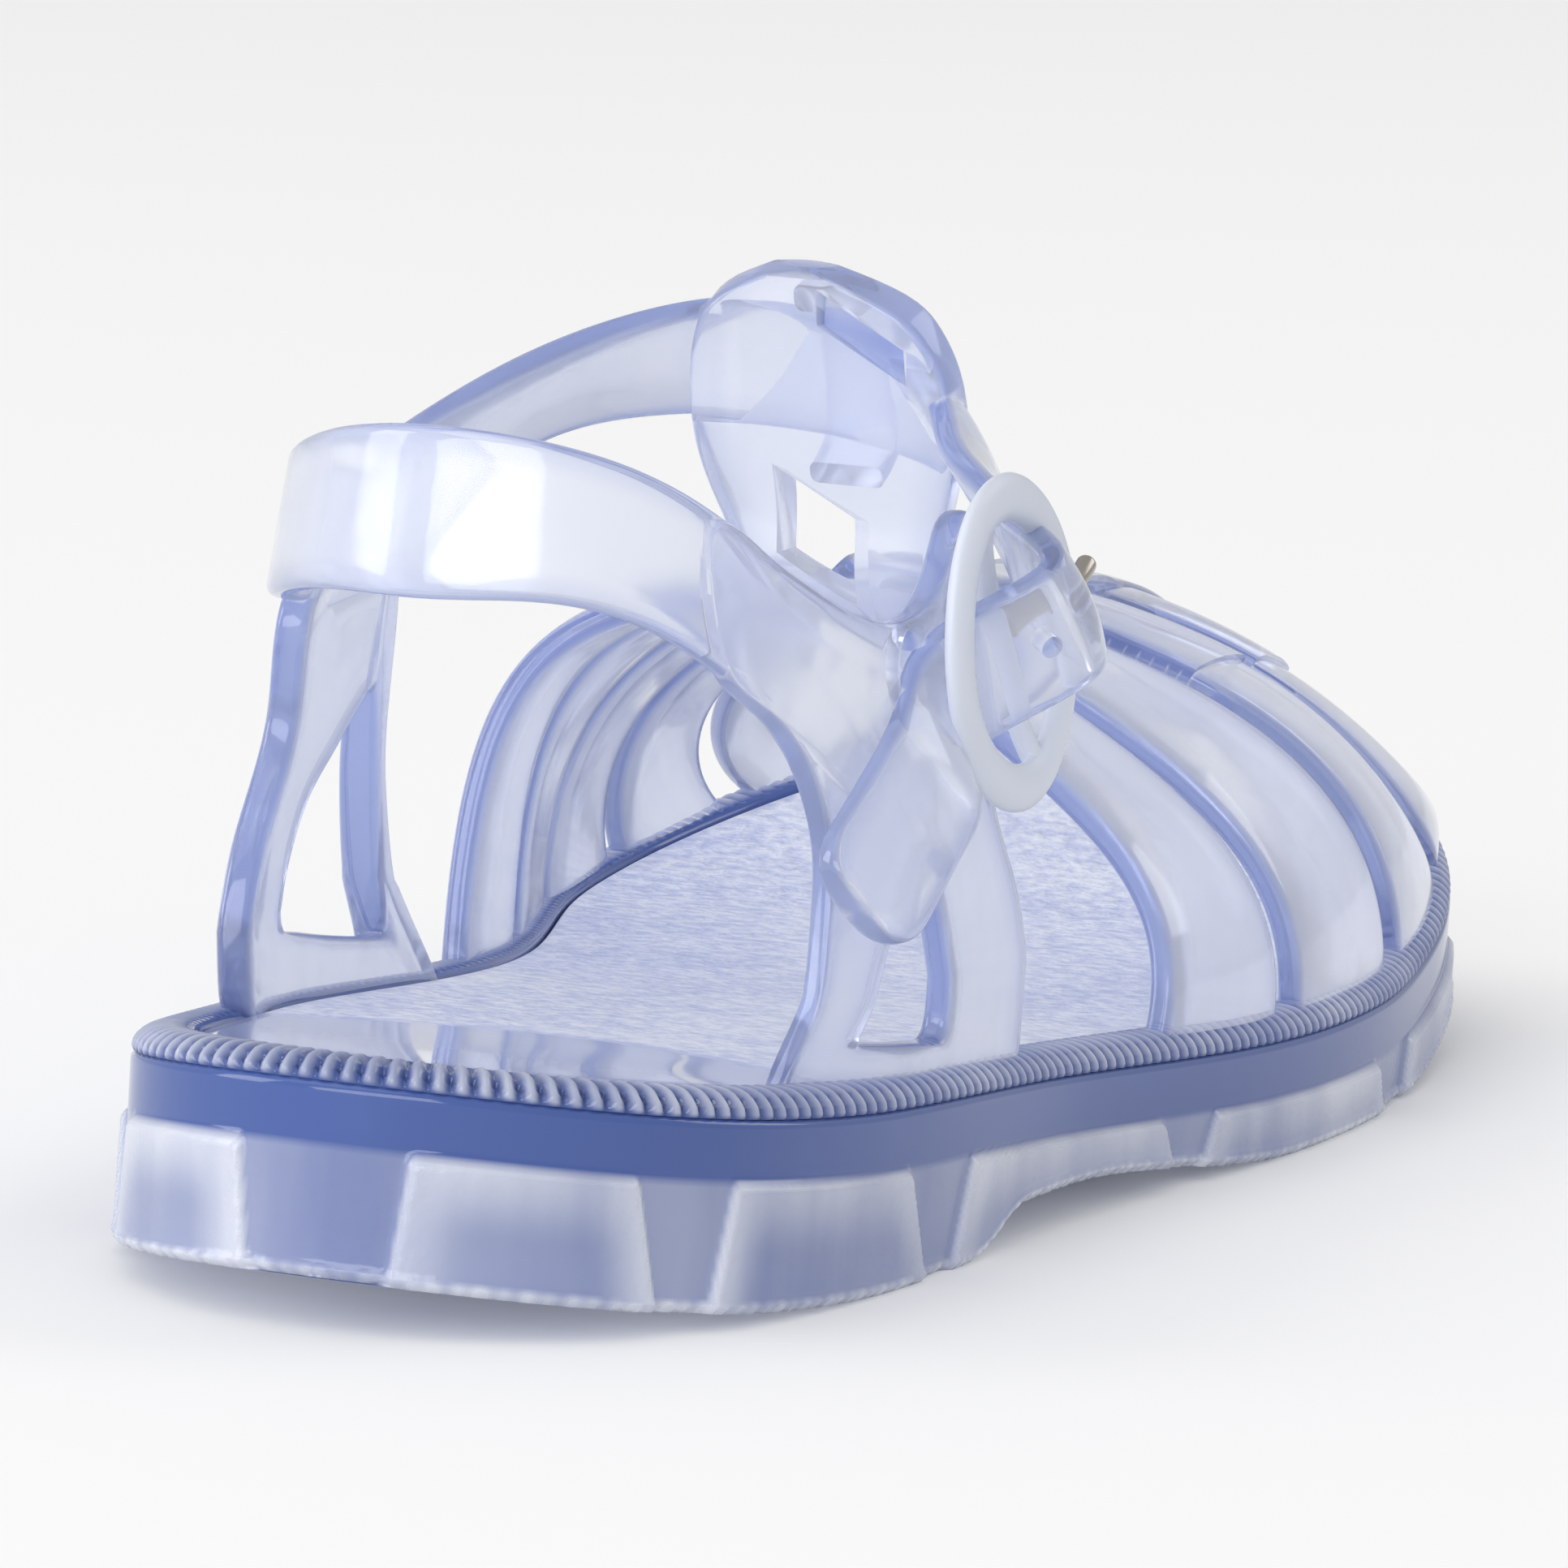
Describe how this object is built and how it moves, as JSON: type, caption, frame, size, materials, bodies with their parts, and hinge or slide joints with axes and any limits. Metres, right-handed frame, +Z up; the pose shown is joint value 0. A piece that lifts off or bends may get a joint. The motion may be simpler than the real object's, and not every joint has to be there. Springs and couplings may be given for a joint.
{
  "type": "jelly sandal",
  "caption": "Right-foot clear moulded sandal: fanned strap cage over the toes, open heel cage, T-bar tab, buckled ankle strap and a tinted sole with panelled sides.",
  "frame": {"origin": "on the floor under the middle of the shoe's bounding box", "axes": "+X to the outer side of the foot, +Y from the heel to the toe, +Z up from the floor"},
  "size_m": [0.0946, 0.2508, 0.0848],
  "materials": {
    "tinted_pvc": "clear blue-tinted, glossy band and ribs, frosted panels",
    "grained_pvc": "fine leather grain",
    "clear_pvc": "clear, glossy, faintly blue",
    "frosted_plastic": "milky satin",
    "nickel_steel": "plated"
  },
  "bodies": {
    "root": {"outsole": "tinted_pvc", "insole": "grained_pvc", "upper": "clear_pvc", "buckle_frame": "frosted_plastic", "buckle_prong": "nickel_steel"}
  },
  "joints": []
}
